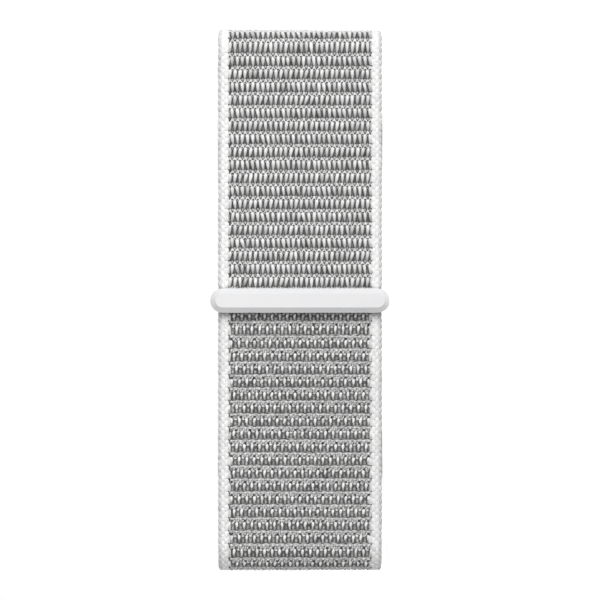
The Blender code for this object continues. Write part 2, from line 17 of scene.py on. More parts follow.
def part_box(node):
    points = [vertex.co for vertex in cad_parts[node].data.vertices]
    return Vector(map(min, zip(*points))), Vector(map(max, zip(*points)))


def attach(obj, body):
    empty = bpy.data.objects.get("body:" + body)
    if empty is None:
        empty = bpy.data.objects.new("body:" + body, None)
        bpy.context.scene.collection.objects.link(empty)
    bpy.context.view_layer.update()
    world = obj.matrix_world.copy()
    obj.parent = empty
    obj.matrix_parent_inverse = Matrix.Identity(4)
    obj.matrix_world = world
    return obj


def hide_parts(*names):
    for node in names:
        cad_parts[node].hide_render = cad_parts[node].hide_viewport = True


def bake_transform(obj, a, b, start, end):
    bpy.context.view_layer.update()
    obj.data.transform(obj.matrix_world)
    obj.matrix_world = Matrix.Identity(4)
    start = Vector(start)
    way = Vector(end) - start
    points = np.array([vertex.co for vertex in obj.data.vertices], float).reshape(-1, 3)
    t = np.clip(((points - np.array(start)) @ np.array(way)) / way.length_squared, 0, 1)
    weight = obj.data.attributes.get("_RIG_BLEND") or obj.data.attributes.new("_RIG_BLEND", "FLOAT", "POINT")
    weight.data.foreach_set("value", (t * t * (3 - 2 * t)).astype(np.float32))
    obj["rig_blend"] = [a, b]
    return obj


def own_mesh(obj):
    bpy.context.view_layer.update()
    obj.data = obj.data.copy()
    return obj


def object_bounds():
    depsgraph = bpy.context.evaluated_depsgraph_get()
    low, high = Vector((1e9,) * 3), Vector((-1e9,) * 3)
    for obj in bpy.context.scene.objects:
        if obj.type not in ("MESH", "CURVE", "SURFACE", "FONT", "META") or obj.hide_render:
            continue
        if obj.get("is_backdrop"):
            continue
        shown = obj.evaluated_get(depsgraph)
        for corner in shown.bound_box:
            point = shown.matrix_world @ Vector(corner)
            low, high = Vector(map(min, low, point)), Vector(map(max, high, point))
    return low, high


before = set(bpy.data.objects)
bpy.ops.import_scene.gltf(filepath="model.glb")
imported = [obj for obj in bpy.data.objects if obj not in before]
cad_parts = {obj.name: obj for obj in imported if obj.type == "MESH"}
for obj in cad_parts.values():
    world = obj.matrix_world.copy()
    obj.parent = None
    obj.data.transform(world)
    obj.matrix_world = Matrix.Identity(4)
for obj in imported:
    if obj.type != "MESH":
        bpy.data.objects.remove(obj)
cad_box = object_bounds()
MM = 0.001


def in_mm(corners):
    return [[round(v / MM, 2) for v in corner] for corner in corners]


print("CAD box, mm:", in_mm(cad_box))

# %% [markdown]
# ## Camera
#
# The picture shows the front stretch square on, with the long side upright. The strap itself lies
# on its edge, so the camera stands level with it and is rolled a quarter turn: up in the picture
# is the direction of the short strap. It stands near enough that the front stretch hides the lugs
# and the sides of the loop, which lie further away and so look smaller, as in the picture.

# %% Camera
FRONT_Y = -20.5 * MM
MID_Z = 11.95 * MM
VIEW_WIDTH = 79.75 * MM
VIEW_DISTANCE = 0.40
VIEW_CENTRE_X = 0.07 * MM
SENSOR = 36.0


def add_object(name, data):
    made = bpy.data.objects.new(name, data)
    bpy.context.scene.collection.objects.link(made)
    return made


camera_data = bpy.data.cameras.new("camera")
camera_data.sensor_width = SENSOR
camera_data.lens = SENSOR * VIEW_DISTANCE / VIEW_WIDTH
camera_data.clip_start = 0.01
camera_data.clip_end = 20.0
picture_right = Vector((0.0, 0.0, -1.0))
picture_up = Vector((1.0, 0.0, 0.0))
towards_viewer = Vector((0.0, -1.0, 0.0))
roll = Matrix((picture_right, picture_up, towards_viewer)).transposed().to_4x4()
camera = add_object("camera", camera_data)
camera.matrix_world = Matrix.Translation((VIEW_CENTRE_X, FRONT_Y - VIEW_DISTANCE, MID_Z)) @ roll
bpy.context.scene.camera = camera
print("lens, mm:", round(camera_data.lens, 1))

# %% [markdown]
# ## Shader maths
#
# A material is a graph of nodes, and even a small formula takes several of them. The class below
# wraps one output of a node, so that a formula in Python adds its Math nodes by itself. Any other
# node is added by its one method, `node`, which takes the node's type, its settings and its inputs.
# The finishes here are all made with the same few steps, so those are functions too: a noise at
# some scale, a colour between two others, and a bump.

# %% A wrapped socket
class Wire:
    """One output of a shader node. Python's operators on it add Math nodes."""

    def __init__(self, tree, socket=None):
        self.tree = tree
        self.socket = socket

    def node(self, kind, settings=(), inputs=(), output=0):
        """A new node: its settings come first, then a value or a wire for each input."""
        made = self.tree.nodes.new(kind)
        for name, value in dict(settings).items():
            setattr(made, name, value)
        for name, value in dict(inputs).items():
            if isinstance(value, Wire):
                self.tree.links.new(value.socket, made.inputs[name])
            else:
                made.inputs[name].default_value = value
        return Wire(self.tree, made.outputs[output])

    def math(self, operation, first, second):
        return self.node("ShaderNodeMath", {"operation": operation}, {0: first, 1: second})

    def __add__(self, other):
        return self.math("ADD", self, other)

    def __mul__(self, other):
        return self.math("MULTIPLY", self, other)

    __radd__ = __add__
    __rmul__ = __mul__


# %% A new material, and the steps that all of them use
def start_material(name, roughness, **constants):
    """A new material, its Principled shader, and a first wire to build from."""
    made = bpy.data.materials.new(name)
    made.use_nodes = True
    shader = made.node_tree.nodes["Principled BSDF"]
    shader.inputs["Roughness"].default_value = roughness
    for words, value in constants.items():
        shader.inputs[words.replace("_", " ")].default_value = value
    return made, shader, Wire(made.node_tree)


def plug(shader, name, wire):
    wire.tree.links.new(wire.socket, shader.inputs[name])


def noise(place, scale, detail):
    return place.node("ShaderNodeTexNoise", {}, {"Vector": place, "Scale": scale, "Detail": detail})


def between(share, first, second):
    """A colour between two, by a share that varies over the surface."""
    return share.node("ShaderNodeMix", {"data_type": "RGBA"},
                      {0: share, 6: (*first, 1.0), 7: (*second, 1.0)}, 2)


def roughen(shader, height, strength, depth):
    """A bump on the surface. depth is in millimetres."""
    bump = height.node("ShaderNodeBump", {},
                       {"Height": height, "Strength": strength, "Distance": depth * MM})
    plug(shader, "Normal", bump)


# %% [markdown]
# ## Light, floor and background
#
# The picture is plain and soft, with its light a little from the top: the upper bevel of the keeper
# is as bright as its face, the end bevels are pale grey and the lower bevel is a clear grey. One
# wide lamp near the camera does that, low over the floor, with an even world. The background is
# white because the world and the floor look white to camera, glossy and transmission rays, while
# the light that they throw on the strap stays modest. In a reflection the floor needs less of a
# lift, because the lamps light it as well. To all other rays it only glows faintly, as a large
# sheet of paper does, and that lights the selvedge that the strap lies on.

# %% World
WORLD_LIGHT = 0.42


def seen_ray(wire, mirrored=1.0):
    """1 for rays that show the background straight, and mirrored for those in a reflection."""
    straight, glossy, through = [wire.node("ShaderNodeLightPath", output=name)
                                 for name in ("Is Camera Ray", "Is Glossy Ray", "Is Transmission Ray")]
    return wire.math("MINIMUM", straight + mirrored * glossy + through, 1.0)


world = bpy.data.worlds.new("studio")
bpy.context.scene.world = world
world.use_nodes = True
backing = world.node_tree.nodes["Background"]
backing.inputs["Color"].default_value = (1.0, 1.0, 1.0, 1.0)
plug(backing, "Strength", WORLD_LIGHT + (1.0 - WORLD_LIGHT) * seen_ray(Wire(world.node_tree)))
print("world light on the strap:", WORLD_LIGHT)

# %% Lamps
AIM = Vector((0.0, 0.0, MID_Z))


def add_lamp(name, place, width, height, power):
    data = bpy.data.lights.new(name, "AREA")
    data.shape = "RECTANGLE"
    data.size = width
    data.size_y = height
    data.energy = power
    lamp = add_object(name, data)
    lamp.location = place
    lamp.rotation_euler = (AIM - Vector(place)).to_track_quat("-Z", "Y").to_euler()
    print(name, "watts:", power)


add_lamp("key_lamp", place=(0.57, -0.81, 0.12), width=1.10, height=0.21, power=6.80)
add_lamp("back_lamp", place=(0.10, 1.20, 1.40), width=1.60, height=1.60, power=7.5)

# %% Floor
FLOOR_HALF = 4.0
FLOOR_LIFT = 0.72
FLOOR_MIRRORED = 0.25
FLOOR_GLOW = 0.16


def to_mesh(shape, name):
    mesh = bpy.data.meshes.new(name)
    shape.to_mesh(mesh)
    shape.free()
    return mesh


floor_shape = bmesh.new()
bmesh.ops.create_grid(floor_shape, x_segments=1, y_segments=1, size=FLOOR_HALF)
floor = add_object("floor", to_mesh(floor_shape, "floor"))
paper, paper_shader, wire = start_material("pale_floor", 0.9, Base_Color=(0.86, 0.86, 0.86, 1.0),
                                           Emission_Color=(1.0, 1.0, 1.0, 1.0))
plug(paper_shader, "Emission Strength",
     FLOOR_GLOW + (FLOOR_LIFT - FLOOR_GLOW) * seen_ray(wire, FLOOR_MIRRORED / FLOOR_LIFT))
floor.data.materials.append(paper)
floor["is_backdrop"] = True

bpy.context.scene.view_settings.view_transform = "Standard"
print("floor, m:", 2 * FLOOR_HALF, "wide")

# %% [markdown]
# ## The lines that the webbing follows
#
# The webbing is one long ribbon. It is easiest to weave flat, and then to lay along a line in X
# and Y. There are three lines, as in the solids: the short strap from the keeper round to its lug,
# the long strap from the keeper to its own lug, and the tail, which starts behind the keeper's
# rod, folds round it and runs back over the long strap.
#
# Three small things differ from the lines of the solids, all of them to match the picture. The
# front ends stand 0.18 mm further out. The short strap's corner is tighter, because the first row
# in the picture is hardly foreshortened. And the tail takes 5 mm instead of 4 to come up from under
# the keeper, so that its first rows lie in the shade of the bar.

# %% Curves
SMOOTH = 48
SAME_SPOT = 0.001 * MM


def arc(centre, radius, start, end):
    """Round a centre, from one angle to another, in degrees."""
    turns = np.radians(np.linspace(start, end, SMOOTH))
    return np.column_stack([centre[0] + radius * np.cos(turns), centre[1] + radius * np.sin(turns)])


def bezier(*corners):
    t = np.linspace(0.0, 1.0, SMOOTH)[:, None]
    shares = ((1 - t) ** 3, 3 * (1 - t) ** 2 * t, 3 * (1 - t) * t * t, t ** 3)
    return sum(share * np.array(corner) for share, corner in zip(shares, corners))


def rise(first, last):
    """A soft step from one height to another."""
    middle = (first[0] + last[0]) / 2
    return bezier(first, (middle, first[1]), (middle, last[1]), last)


def chain(*stretches):
    """Stretches end to end, without the points that repeat."""
    points = np.vstack(stretches)
    step = np.linalg.norm(np.diff(points, axis=0), axis=1)
    return points[np.concatenate([[True], step > SAME_SPOT])]


# %% [markdown]
# A line knows its own length, so a spot on the flat ribbon has a place in the scene as soon as it
# is known how far along it is, how far across, and how far above the ribbon's middle. `place` does
# that for all the points of a mesh at once, and a tail that lies over another strap follows the
# same line at another height.

# %% A line for cloth
class Path:
    """A line that webbing follows. outer_turn is 1 where the loop's outside is on its right."""

    def __init__(self, points, outer_turn):
        self.points = points
        self.outer_turn = outer_turn
        steps = np.linalg.norm(np.diff(points, axis=0), axis=1)
        self.along = np.concatenate([[0.0], np.cumsum(steps)])
        heading = np.gradient(points, self.along, axis=0)
        self.heading = heading / np.linalg.norm(heading, axis=1)[:, None]
        self.length = self.along[-1]

    def at(self, along):
        """Places and headings, carried on straight past both ends."""
        held = np.clip(along, 0.0, self.length)
        place = np.column_stack([np.interp(held, self.along, self.points[:, i]) for i in (0, 1)])
        heading = np.column_stack([np.interp(held, self.along, self.heading[:, i]) for i in (0, 1)])
        heading /= np.linalg.norm(heading, axis=1)[:, None]
        return place + heading * (along - held)[:, None], heading

    def outward(self, heading):
        return self.outer_turn * np.column_stack([heading[:, 1], -heading[:, 0]])

    def place(self, along, across, above):
        place, heading = self.at(along)
        flat = place + self.outward(heading) * above[:, None]
        return np.column_stack([flat, MID_Z + self.outer_turn * across])

    def moved(self, above, end):
        """The same line at another height, up to a length along it."""
        along = np.linspace(0.0, end, 2 * SMOOTH)
        place, heading = self.at(along)
        return place + self.outward(heading) * above


# %% The short strap's line
WEB_HALF = 0.85 * MM
SHORT_DEPTH = 0.7 * MM
SHORT_LINE_Y = FRONT_Y + SHORT_DEPTH + WEB_HALF
SHORT_START = 1.745 * MM
FRONT_END = 36.38 * MM
SHORT_CORNER = 3.2 * MM
PIN_X = 24.6 * MM
PIN_Y = 18.55 * MM
SIDE_RISE = 0.58
SIDE_SWEEP = 0.92


def side_line(start, side):
    """Round the side of the loop, from a front corner to the lug pin."""
    end = (side * PIN_X, PIN_Y)
    back = SIDE_RISE * (end[1] - start[1])
    across = SIDE_SWEEP * (start[0] - end[0])
    return bezier(start, (start[0], start[1] + back), (end[0] + across, end[1]), end)


short_centre = (FRONT_END - SHORT_CORNER, SHORT_LINE_Y - WEB_HALF + SHORT_CORNER)
short_corner = arc(short_centre, SHORT_CORNER - WEB_HALF, -90.0, 0.0)
short_side = side_line(short_corner[-1], 1)
short_path = Path(chain([(SHORT_START, SHORT_LINE_Y)], short_corner, short_side), 1)
print("short line, mm:", round(short_path.length / MM, 2))

# %% The lines of the long strap and the tail
ROD = (0.0, -15.55 * MM)
FOLD_RADIUS = 1.75 * MM
FOLD_END = math.pi * FOLD_RADIUS
TAIL_DEPTH = 0.9 * MM
TAIL_LINE_Y = FRONT_Y + TAIL_DEPTH + WEB_HALF
LONG_CORNER = 4.2 * MM
WEB_PITCH = 2.0 * MM
SETTLE_LENGTH = 12.0 * MM
RISE_LENGTH = 5.0 * MM
PAST_CORNER = 18.0 * MM

long_centre = (LONG_CORNER - FRONT_END, TAIL_LINE_Y - WEB_HALF + LONG_CORNER)
long_corner = arc(long_centre, LONG_CORNER - WEB_HALF - WEB_PITCH, -90.0, -180.0)
long_side = side_line(long_corner[-1], -1)
settle = rise((0.0, ROD[1] + FOLD_RADIUS), (-SETTLE_LENGTH, long_corner[0][1]))
long_path = Path(chain(settle, long_corner, long_side), -1)

tail_fold = arc(ROD, FOLD_RADIUS, 90.0, -90.0)
tail_rise = rise((0.0, ROD[1] - FOLD_RADIUS), (-RISE_LENGTH, TAIL_LINE_Y))
tail_corner = arc(long_centre, LONG_CORNER - WEB_HALF, -90.0, -180.0)
tail_side = Path(long_side, -1).moved(WEB_PITCH, PAST_CORNER)
tail_path = Path(chain(tail_fold, tail_rise, tail_corner, tail_side), -1)
print("long line and tail line, mm:", [round(p.length / MM, 2) for p in (long_path, tail_path)])

# %% [markdown]
# ## Yarns
#
# On the real strap each pale dash is a float: a stretch of yarn that comes up out of the cloth,
# crosses over and dives back in. A picture of cloth wrapped on a slab would look right from one
# side only, so each float is a small stretched ball, thin and low at its far end, that stands in
# a dark ground. A row of them is made flat, an Array modifier repeats the rows, and then every
# yarn is nudged a little on its own, because woven cloth is never quite even.
#
# The number called tone is how pale the yarn is, with some painted shade in it as well: a float is
# painted darker towards its far end, where it dives into the cloth and lies in shade. It is stored
# on the mesh, and the material reads it. The number called yarn tells the yarns of a mesh apart.

# %% One yarn
def start_yarns():
    shape = bmesh.new()
    shape.verts.layers.float.new("tone")
    shape.verts.layers.int.new("yarn")
    return shape


def add_yarn(shape, spot, size, lean=0.0, taper=0.0, tones=(1.0, 1.0), sides=4, bands=3, head=1.0):
    """A stretch of yarn. spot and size are along, across and above, in millimetres.

    A taper thins its far end, and a head above 1 moves its thickest part towards its near end.
    The tones are those of its near and far end.
    """
    tone = shape.verts.layers.float["tone"]
    yarn = shape.verts.layers.int["yarn"]
    number = shape.verts[-1][yarn] + 1 if len(shape.verts) else 0
    made = bmesh.ops.create_uvsphere(shape, u_segments=sides, v_segments=bands, radius=1.0)["verts"]
    for v in made:
        far = max(0.0, (1.0 - v.co.z) / 2.0)
        v.co.x *= 1.0 - taper * far
        v.co.y *= 1.0 - taper * far
        v.co.z = 1.0 - 2.0 * far ** head
        v[tone] = tones[0] + (tones[1] - tones[0]) * far ** (1.1 * head)
        v[yarn] = number
    stretch = Matrix.Diagonal((size[0] / 2, size[1] / 2, size[2] / 2, 1.0))
    place = Matrix.Translation(spot) @ Matrix.Rotation(math.radians(lean), 4, "Z")
    lay_down = Matrix.Rotation(math.radians(-90.0), 4, "Y")
    bmesh.ops.transform(shape, matrix=place @ stretch @ lay_down, verts=made)
    shape.verts.ensure_lookup_table()


# %% [markdown]
# ## The two faces of the cloth
#
# The two faces are woven differently, and both show in the picture, because the tail is the
# strap's skin side folded over. The outer face has narrow leaf-shaped floats, half a step aside
# in every other row, with small forks of yarn between the rows. The skin side has rounder floats
# further apart, a third of a step aside in each row, with grey knots between them. Under each of
# its rows runs a band of small arches, and through the holes that these leave the cloth is almost
# black in some places and grey in others.

# %% Rows of the outer face
ROW = 1.731
GROUND = 0.60
CORE_HALF_WIDTH = 9.6
OUTER_STEP = 0.680
OUTER_LEAN = 8.0
FORK_LEAN = 38.0


def make_tile(shape, name, rows):
    """A flat tile of yarns as a mesh, with the number of rows in it."""
    mesh = to_mesh(shape, name)
    print(name, "points:", len(mesh.vertices))
    return mesh, rows


def outer_rows():
    """Two rows of the outer face, flat, in millimetres."""
    shape = start_yarns()
    columns = int(2 * CORE_HALF_WIDTH / OUTER_STEP)
    for row in range(2):
        down = row * ROW
        for column in range(columns):
            across = (column - (columns - 1) / 2) * OUTER_STEP + (row - 0.5) * OUTER_STEP / 2
            gap = across + OUTER_STEP / 2
            # a float, painted darker towards its far end as painted shade where it dives into the cloth, and
            # the knot and the fork past its far end
            add_yarn(shape, (down + 0.74, across, GROUND + 0.02), (1.38, 0.57, 0.48),
                     lean=(row - 0.5) * OUTER_LEAN, taper=0.32, tones=(1.0, 0.33),
                     sides=6, bands=6, head=1.6)
            add_yarn(shape, (down + 1.51, across, GROUND + 0.02), (0.42, 0.42, 0.32),
                     tones=(0.80, 0.88), sides=5)
            for side in (-1, 1):
                add_yarn(shape, (down + 1.68, across + side * 0.17, GROUND + 0.02), (0.54, 0.20, 0.32),
                         lean=side * FORK_LEAN, tones=(0.82, 0.90))
            # what shows of the deeper yarns in the gap beside it
            add_yarn(shape, (down + 1.39, gap, GROUND), (0.38, 0.42, 0.26), tones=(0.40, 0.60))
            add_yarn(shape, (down + 0.20, gap, GROUND), (0.24, 0.30, 0.20), tones=(0.46, 0.36))
            add_yarn(shape, (down + 0.96, gap, GROUND), (0.66, 0.34, 0.18), tones=(0.09, 0.20))
        for edge in (-1, 1):
            add_yarn(shape, (down + 0.75, edge * 9.44, GROUND - 0.02), (1.50, 0.34, 0.28),
                     tones=(0.58, 0.48))
    return shape


outer_tile = make_tile(outer_rows(), "outer_rows", 2)

# %% Rows of the skin side
SKIN_STEP = 1.014
SKIN_LEAN = -5.0
ARCH_STEP = 0.6 * SKIN_STEP
ARCH_LEAN = -24.0
EYE_TONES = (0.04, 0.38, 0.06, 0.60, 0.52)
SKIN_EDGE = CORE_HALF_WIDTH - 0.1


def skin_rows(float_sides, float_bands, arch_sides, eye_sides):
    """Three rows of the skin side, flat, in millimetres."""
    shape = start_yarns()
    columns = int(2 * CORE_HALF_WIDTH / SKIN_STEP)
    for row in range(3):
        down = row * ROW
        for column in range(columns + 1):
            across = (column - columns / 2) * SKIN_STEP + (row - 1) * SKIN_STEP / 3
            gap = across + SKIN_STEP / 2
            # a float and the knot under it
            if abs(across) < SKIN_EDGE:
                add_yarn(shape, (down + 0.50, across, GROUND + 0.03), (0.76, 0.46, 0.48), lean=SKIN_LEAN,
                         taper=0.20, tones=(1.0, 0.94), sides=float_sides, bands=float_bands, head=1.3)
                add_yarn(shape, (down + 0.98, across, GROUND), (0.56, 0.38, 0.28), taper=0.2,
                         tones=(0.48, 0.40))
            # the grey yarns between two floats
            if abs(gap) < SKIN_EDGE:
                for place, size, tones in ((0.90, (0.50, 0.42, 0.28), (0.42, 0.44)),
                                           (0.26, (0.32, 0.54, 0.30), (0.88, 0.72)),
                                           (0.70, (0.72, 0.60, 0.14), (0.21, 0.26)),
                                           (1.25, (0.24, 1.04, 0.26), (0.46, 0.52))):
                    add_yarn(shape, (down + place, gap, GROUND), size, tones=tones)
        add_arches(shape, row, arch_sides, eye_sides)
        for edge in (-1, 1):
            add_yarn(shape, (down + 0.75, edge * 9.38, GROUND - 0.02), (1.60, 0.46, 0.34),
                     tones=(0.78, 0.68))
    return shape


def add_arches(shape, row, arch_sides, eye_sides):
    """The band of arches under a row, with what shows in their holes."""
    down = row * ROW
    arches = int(2 * CORE_HALF_WIDTH / ARCH_STEP)
    for arch in range(arches):
        across = (arch - (arches - 1) / 2) * ARCH_STEP
        foot = across + ARCH_STEP / 2
        eye = EYE_TONES[(arch + row) % len(EYE_TONES)]
        add_yarn(shape, (down + 1.45, across, GROUND + 0.02), (0.36, 0.54, 0.34), tones=(0.74, 0.68),
                 sides=arch_sides)
        add_yarn(shape, (down + 1.42, foot, GROUND), (0.34, 0.44, 0.26), tones=(0.54, 0.56))
        add_yarn(shape, (down + 1.74, foot, GROUND + 0.02), (0.46, 0.24, 0.34), lean=ARCH_LEAN,
                 tones=(0.74, 0.86))
        add_yarn(shape, (down + 1.73, across, GROUND), (0.36, 0.54, 0.26), tones=(0.54, 0.60))
        add_yarn(shape, (down + 1.72, across, GROUND + 0.06), (0.34, 0.32, 0.34), tones=(eye, eye),
                 sides=eye_sides)


skin_tile = make_tile(skin_rows(6, 5, 5, 6), "skin_rows", 3)
plain_skin_tile = make_tile(skin_rows(5, 4, 4, 4), "plain_skin_rows", 3)

# %% [markdown]
# ## The nylon's material
#
# Pale yarn is bright and a little silky, and charcoal yarn shows between. Both are the same nylon,
# so one material serves, and its colour follows tone. Small shifts of warmth and lightness come
# from a noise in the strap's own space. The filaments of a yarn are thinner than a hair: a noise
# drawn out along a flat UV map gives them as a bump. The ground between the yarns lies deep in the
# cloth and is dull, so that it stays dark from every side.

# %% Nylon
def nylon_material():
    made, shader, wire = start_material("woven_nylon", 0.62, Specular_IOR_Level=0.3,
                                        Sheen_Weight=0.12, Sheen_Roughness=0.4)
    tone = wire.node("ShaderNodeAttribute", {"attribute_name": "tone"}, output="Fac")
    place = wire.node("ShaderNodeTexCoord", output="Object")
    warmth = between(noise(place, 420.0, 3.0), (0.93, 0.93, 0.97), (1.0, 1.0, 0.955))
    lightness = tone * (0.86 + 0.28 * noise(place, 2600.0, 2.0)) * 0.95
    colour = wire.node("ShaderNodeVectorMath", {"operation": "SCALE"}, {0: warmth, "Scale": lightness})
    plug(shader, "Base Color", colour)
    flat = wire.node("ShaderNodeTexCoord", output="UV")
    drawn_out = wire.node("ShaderNodeMapping", {}, {"Vector": flat, "Scale": (1.6, 16.0, 1.0)})
    roughen(shader, noise(drawn_out, 1.0, 2.0), strength=0.5, depth=0.05)
    return made


def ground_material():
    made, shader, wire = start_material("dark_ground", 0.9, Specular_IOR_Level=0.12)
    speck = noise(wire.node("ShaderNodeTexCoord", output="Object"), 1500.0, 3.0)
    plug(shader, "Base Color", between(speck, (0.035, 0.035, 0.038), (0.150, 0.150, 0.142)))
    roughen(shader, speck, strength=0.5, depth=0.1)
    return made


nylon = nylon_material()
ground = ground_material()
print("cloth materials:", nylon.name, ground.name)

# %% [markdown]
# ## From flat rows to a strap
#
# The rows are repeated for the length of a strap. Then each yarn is moved, turned, swollen and
# shaded by chance, within the limits named here: a spread in degrees, as a share, in millimetres
# and as a share again. The chance starts from a fixed seed, so the cloth is the same each time.

# %% Repeat the rows
def repeated(mesh, step, count):
    """The mesh copied along its length by an Array modifier."""
    holder = add_object("repeat", mesh)
    copies = holder.modifiers.new("rows", "ARRAY")
    copies.use_relative_offset = False
    copies.use_constant_offset = True
    copies.constant_offset_displace = (step, 0.0, 0.0)
    copies.count = count
    made = bpy.data.meshes.new_from_object(holder.evaluated_get(bpy.context.evaluated_depsgraph_get()))
    bpy.data.objects.remove(holder)
    return made


def read(mesh, name="position", width=3):
    """A vertex attribute as an array."""
    data = mesh.attributes[name].data
    values = np.zeros(len(data) * width, np.int32 if name == "yarn" else np.float32)
    data.foreach_get("vector" if width == 3 else "value", values)
    return values.reshape(-1, width).astype(float) if width == 3 else values


def set_tone(mesh, tone):
    mesh.attributes["tone"].data.foreach_set("value", tone.astype(np.float32))


# %% Nudge each yarn
TURN_SPREAD = 5.0
SWELL_SPREAD = 0.05
SHIFT_SPREAD = 0.023
LIFT_SHARE = 0.4
TONE_SPREAD = 0.09


def nudge(mesh, per_tile, seed, amount):
    """Moves, turns, swells and shades each yarn a little on its own."""
    co = read(mesh)
    in_tile = read(mesh, "yarn", 1)
    number = in_tile + np.arange(len(co)) // per_tile * (in_tile.max() + 1)
    count = number.max() + 1
    chance = np.random.RandomState(seed)
    size = np.bincount(number, minlength=count)
    centre = np.column_stack([np.bincount(number, co[:, i], count) / size for i in range(3)])
    turn = np.radians(chance.normal(0.0, TURN_SPREAD * amount, count))[number]
    swell = chance.normal(1.0, SWELL_SPREAD * amount, (count, 3))[number]
    shift = chance.normal(0.0, SHIFT_SPREAD * amount, (count, 3))
    shift[:, 2] *= LIFT_SHARE
    away = (co - centre[number]) * swell
    turned = np.column_stack([away[:, 0] * np.cos(turn) - away[:, 1] * np.sin(turn),
                              away[:, 0] * np.sin(turn) + away[:, 1] * np.cos(turn), away[:, 2]])
    tone = read(mesh, "tone", 1)
    uneven = chance.normal(0.0, TONE_SPREAD * amount, count)[number] * (1.0 + 3.0 * (1.0 - tone) ** 2)
    set_tone(mesh, np.clip(tone * np.clip(1.0 + uneven, 0.35, 1.9), 0.02, 1.0))
    mesh.attributes["yarn"].data.foreach_set("value", number.astype(np.int32))
    return centre[number] + turned + shift[number], number


# %% [markdown]
# What would lie past the ends or under another piece is taken out, yarn by yarn and not point by
# point, so that no yarn is cut open. The rest is laid along its line. Its flat position is also
# kept as a UV map, so the filaments in the material run along the strap wherever it bends.

# %% Keep and lay
def keep_yarns(mesh, co, number, inside, share=0.0):
    """Deletes the yarns with more than a share of their points outside, and returns the rest."""
    count = number.max() + 1
    lost = np.bincount(number, ~inside, count) > share * np.bincount(number, minlength=count)
    shape = bmesh.new()
    shape.from_mesh(mesh)
    doomed = [v for v, out in zip(shape.verts, lost[number]) if out]
    bmesh.ops.delete(shape, geom=doomed, context="VERTS")
    shape.to_mesh(mesh)
    shape.free()
    return co[~lost[number]]


def lay(mesh, flat, path, start, flow=1, side=1):
    """Lays flat places, in millimetres, along a path, and keeps them as a UV map."""
    along = start + flow * flat[:, 0] * MM
    across = flow * side * flat[:, 1] * MM
    above = side * flat[:, 2] * MM
    mesh.vertices.foreach_set("co", path.place(along, across, above).astype(np.float32).ravel())
    corners = np.zeros(len(mesh.loops), np.int32)
    mesh.loops.foreach_get("vertex_index", corners)
    uv = mesh.uv_layers.new(name="flat")
    uv.data.foreach_set("uv", flat[corners][:, :2].astype(np.float32).ravel())
    mesh.polygons.foreach_set("use_smooth", [True] * len(mesh.polygons))
    mesh.update()


def add_piece(name, mesh, material):
    mesh.name = name
    mesh.materials.append(material)
    print(name, "triangles:", sum(len(p.vertices) - 2 for p in mesh.polygons))
    return add_object(name, mesh)


# %% Weave a face
SPARE_TILES = 3
MAY_BE_OUTSIDE = 0.6


def weave(name, tile, path, span, first_line, flow, side, seed, covered=None, sink=0.0, looseness=1.0):
    """A face of yarns on a path.

    span is what the face may cover and first_line is where a row starts, both along the path.
    flow is 1 where the rows run with the path and -1 against it. side is 1 on the path's outer
    side and -1 on its inner one. covered says which yarns another piece covers.
    """
    tile_mesh, rows = tile
    step = rows * ROW
    mesh = repeated(tile_mesh, step, int((span[1] - span[0]) / MM / step) + SPARE_TILES)
    flat, number = nudge(mesh, len(tile_mesh.vertices), seed, looseness)
    ahead = first_line - span[0] if flow > 0 else span[1] - first_line
    flat[:, 0] -= math.ceil(ahead / MM / step) * step
    along = first_line + flow * flat[:, 0] * MM
    inside = (along > span[0]) & (along < span[1])
    if covered is not None:
        hidden = np.bincount(number, covered(along, flat), number.max() + 1) > 0
        inside &= ~hidden[number]
    flat = keep_yarns(mesh, flat, number, inside, MAY_BE_OUTSIDE)
    flat[:, 0] = np.clip(flat[:, 0], *sorted(flow * (end - first_line) / MM for end in span))
    flat[:, 2] -= sink
    lay(mesh, flat, path, first_line, flow, side)
    return add_piece(name, mesh, nylon)


# %% [markdown]
# ## The ground web and the selvedges
#
# Behind the yarns is the body of the double cloth. It is a dark ribbon: a grid that is extruded to
# its thickness. The pale selvedges are ribbons of their own on both sides of it. The weft turns
# back round them, which shows as a row of beads on the edge and two rows of slanting stitches on
# each face, so these are yarns as well, and are joined with their ribbons into one piece.

# %% A ribbon
CELL_WIDTH = 1.2
WEB_REACH = 9.7
WEB_TONE = 0.075


def ribbon(low, high, half, length, step, tone_value):
    """A flat ribbon from low to high across, in millimetres, in cells of about step."""
    shape = start_yarns()
    bmesh.ops.create_grid(shape, x_segments=max(2, int(length / step)),
                          y_segments=max(1, int((high - low) / CELL_WIDTH)), size=0.5)
    size = Matrix.Diagonal((length, high - low, 1, 1))
    place = Matrix.Translation((length / 2, (low + high) / 2, -half))
    bmesh.ops.transform(shape, matrix=place @ size, verts=shape.verts)
    lifted = bmesh.ops.extrude_face_region(shape, geom=shape.faces[:])["geom"]
    raised = [v for v in lifted if isinstance(v, bmesh.types.BMVert)]
    bmesh.ops.translate(shape, vec=(0.0, 0.0, 2 * half), verts=raised)
    bmesh.ops.recalc_face_normals(shape, faces=shape.faces)
    tone = shape.verts.layers.float["tone"]
    for v in shape.verts:
        v[tone] = tone_value
    return shape


def lay_shape(shape, name, path, start, material):
    mesh = to_mesh(shape, name)
    lay(mesh, read(mesh), path, start)
    return add_piece(name, mesh, material)


def lay_web(name, path, span, step):
    """The dark body of a length of strap."""
    shape = ribbon(-WEB_REACH, WEB_REACH, GROUND, (span[1] - span[0]) / MM, step, WEB_TONE)
    return lay_shape(shape, name, path, span[0], ground)


def joined(name, *pieces):
    """Several pieces of nylon made into one."""
    shape = bmesh.new()
    for piece in pieces:
        shape.from_mesh(piece.data)
        bpy.data.objects.remove(piece)
    mesh = to_mesh(shape, name)
    mesh.polygons.foreach_set("use_smooth", [True] * len(mesh.polygons))
    return add_piece(name, mesh, nylon)


